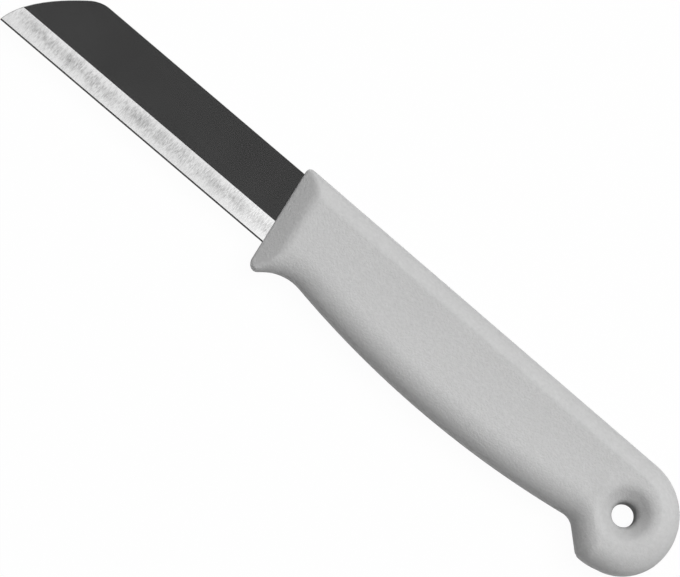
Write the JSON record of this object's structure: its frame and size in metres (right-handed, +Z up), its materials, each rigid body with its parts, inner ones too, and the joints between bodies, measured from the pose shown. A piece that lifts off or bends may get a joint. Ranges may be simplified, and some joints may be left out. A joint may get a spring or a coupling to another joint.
{
  "type": "peeling knife",
  "caption": "Small kitchen peeling knife: a straight-edged stamped steel blade in a moulded plastic handle with a finger guard, a hooked butt and a hanging hole.",
  "frame": {"origin": "centre of the knife's bounding box, on the surface that it lies on", "axes": "+X along the knife from the tip to the butt, +Y from the cutting edge to the spine, +Z up from the side that it lies on"},
  "size_m": [0.1612, 0.0236, 0.0115],
  "materials": {
    "blade_steel": "polished flats with a crosswise ground bevel",
    "handle_plastic": "light grey moulded plastic with a fine matt grain"
  },
  "bodies": {
    "root": {"blade": "blade_steel", "handle": "handle_plastic"}
  },
  "joints": []
}
